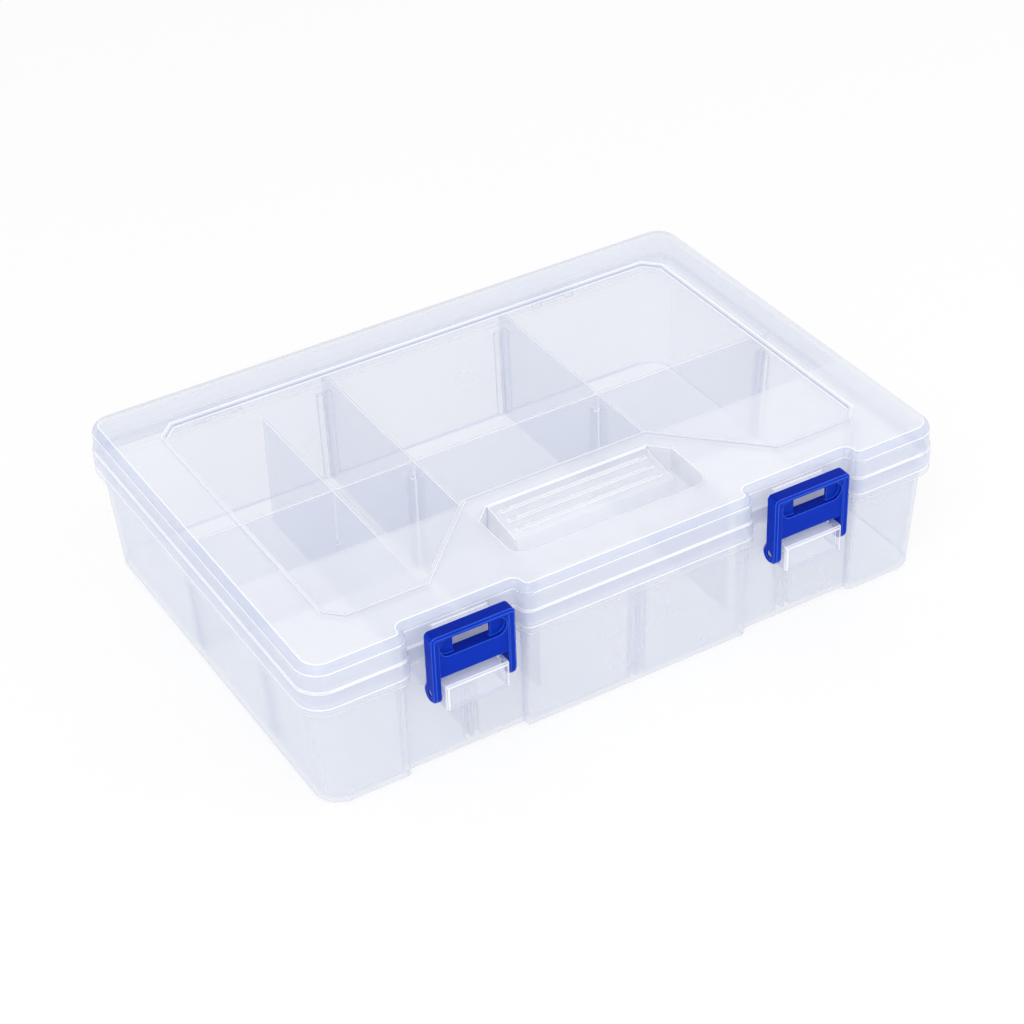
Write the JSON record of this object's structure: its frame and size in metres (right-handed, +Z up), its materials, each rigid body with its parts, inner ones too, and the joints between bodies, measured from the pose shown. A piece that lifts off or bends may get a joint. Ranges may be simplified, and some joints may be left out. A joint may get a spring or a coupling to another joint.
{
  "type": "compartment storage box",
  "caption": "Clear rectangular storage box with a hinged lid, a grip pocket, blue swing latches and lift-out dividers that part the tray into compartments.",
  "frame": {"origin": "middle of the box's footprint, on the table", "axes": "+X along the length to the viewer's right, +Y from the latches to the hinge, +Z up"},
  "size_m": [0.29, 0.211, 0.07],
  "materials": {
    "clear_plastic": "clear moulded polypropylene",
    "divider_plastic": "clear moulded polypropylene, faintly frosted",
    "latch_plastic": "royal blue moulded plastic, semi-gloss"
  },
  "bodies": {
    "tray": {"base_tray": "clear_plastic", "left_cross_divider": "divider_plastic", "middle_cross_divider": "divider_plastic", "right_cross_divider": "divider_plastic", "left_long_divider": "divider_plastic", "middle_long_divider": "divider_plastic", "right_long_divider": "divider_plastic"},
    "lid": {"lid": "clear_plastic"},
    "left_latch": {"latch_left": "latch_plastic"},
    "right_latch": {"latch_right": "latch_plastic"}
  },
  "joints": [
    {"name": "lid_hinge", "type": "hinge", "parent": "tray", "child": "lid", "pos_m": [0, 0.1029, 0.0505], "axis": [-1, 0, 0], "range_deg": [0, 180]},
    {"name": "left_latch_pivot", "type": "hinge", "parent": "tray", "child": "left_latch", "pos_m": [-0.0774, -0.0996, 0.0397], "axis": [1, 0, 0], "range_deg": [0, 100]},
    {"name": "right_latch_pivot", "type": "hinge", "parent": "tray", "child": "right_latch", "pos_m": [0.0774, -0.0996, 0.0397], "axis": [1, 0, 0], "range_deg": [0, 100]}
  ]
}
